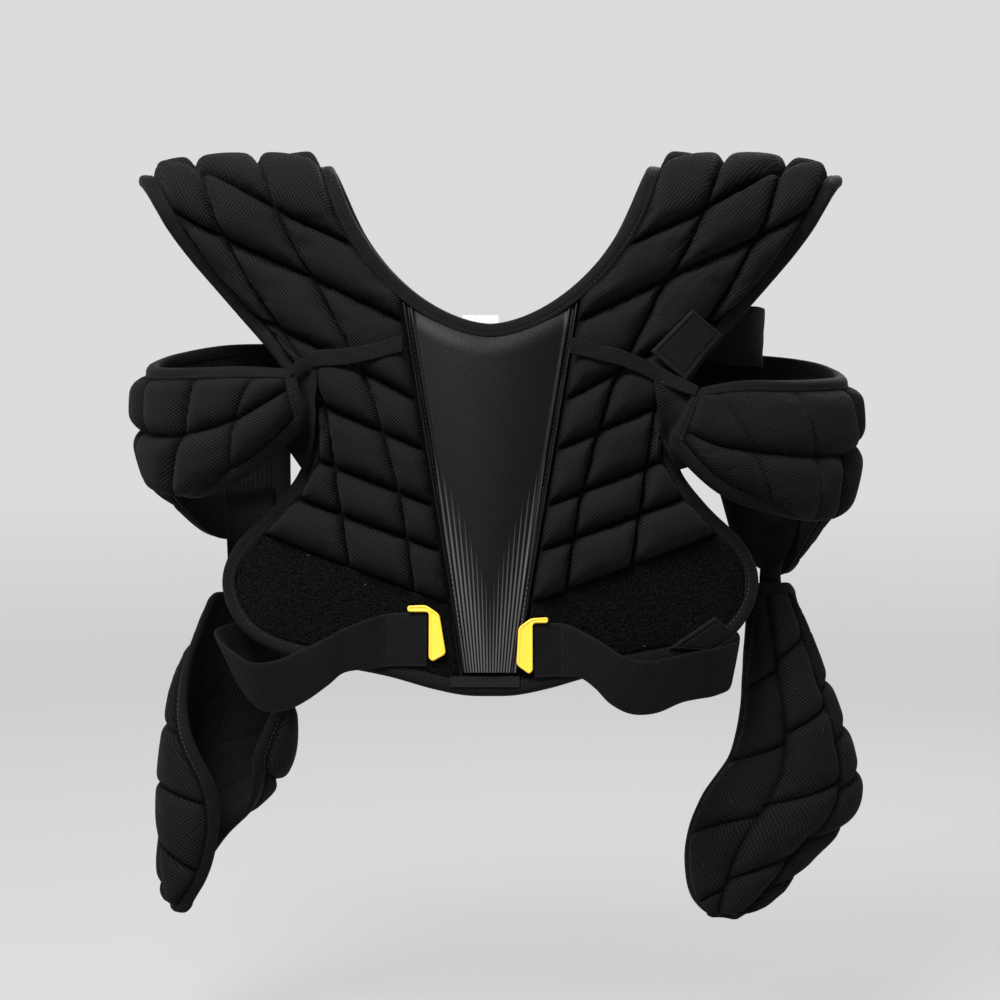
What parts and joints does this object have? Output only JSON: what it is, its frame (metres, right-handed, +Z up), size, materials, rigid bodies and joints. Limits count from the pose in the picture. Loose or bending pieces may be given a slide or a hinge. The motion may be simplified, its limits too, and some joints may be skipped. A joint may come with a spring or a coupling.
{
  "type": "lacrosse shoulder pads",
  "caption": "Quilted protective vest for the chest, shoulders and back, with a sternum plate, shoulder caps, hanging bicep pads and elastic side straps.",
  "frame": {"origin": "midway between the shoulders, at the underside of the fold where the pads hang", "axes": "+Z up, +Y towards the back so that the chest faces -Y, +X to the viewer's right when facing the chest"},
  "size_m": [0.4656, 0.1524, 0.4919],
  "materials": {
    "quilted_mesh": "matte knitted mesh over foam",
    "lining": "matte ribbed lining",
    "binding": "smooth woven tape",
    "plate": "satin leatherette with fine grey pinstripes",
    "loop_pile": "napped loop pile",
    "elastic": "fine ribbed elastic webbing",
    "pull_tab": "moulded satin yellow",
    "hem_label": "woven label",
    "neck_label": "white printed tape, left bare"
  },
  "bodies": {
    "root": {"chest_liner": "lining", "back_liner": "lining", "chest_pad_left": "quilted_mesh", "chest_pad_right": "quilted_mesh", "back_pad_left": "quilted_mesh", "back_pad_right": "quilted_mesh", "sternum_plate": "plate", "loop_panel_left": "loop_pile", "loop_panel_right": "loop_pile", "back_panel_left": "lining", "back_panel_right": "lining", "neck_binding": "binding", "edge_binding_left": "binding", "edge_binding_right": "binding", "cap_liner_left": "lining", "cap_liner_right": "lining", "cap_pad_left": "quilted_mesh", "cap_pad_right": "quilted_mesh", "cap_binding_left": "binding", "cap_binding_right": "binding", "bicep_pad_left": "quilted_mesh", "bicep_pad_right": "quilted_mesh", "bicep_binding_left": "binding", "bicep_binding_right": "binding", "side_strap_left": "elastic", "side_strap_right": "elastic", "pull_tab_left": "pull_tab", "pull_tab_right": "pull_tab", "webbing_left": "elastic", "webbing_right": "elastic", "gusset_left": "quilted_mesh", "gusset_right": "quilted_mesh", "bicep_strap_left": "elastic", "bicep_strap_right": "elastic", "hook_tab": "loop_pile", "strap_end": "elastic", "cap_strap_right": "elastic", "hem_label": "hem_label", "neck_label": "neck_label"}
  },
  "joints": []
}
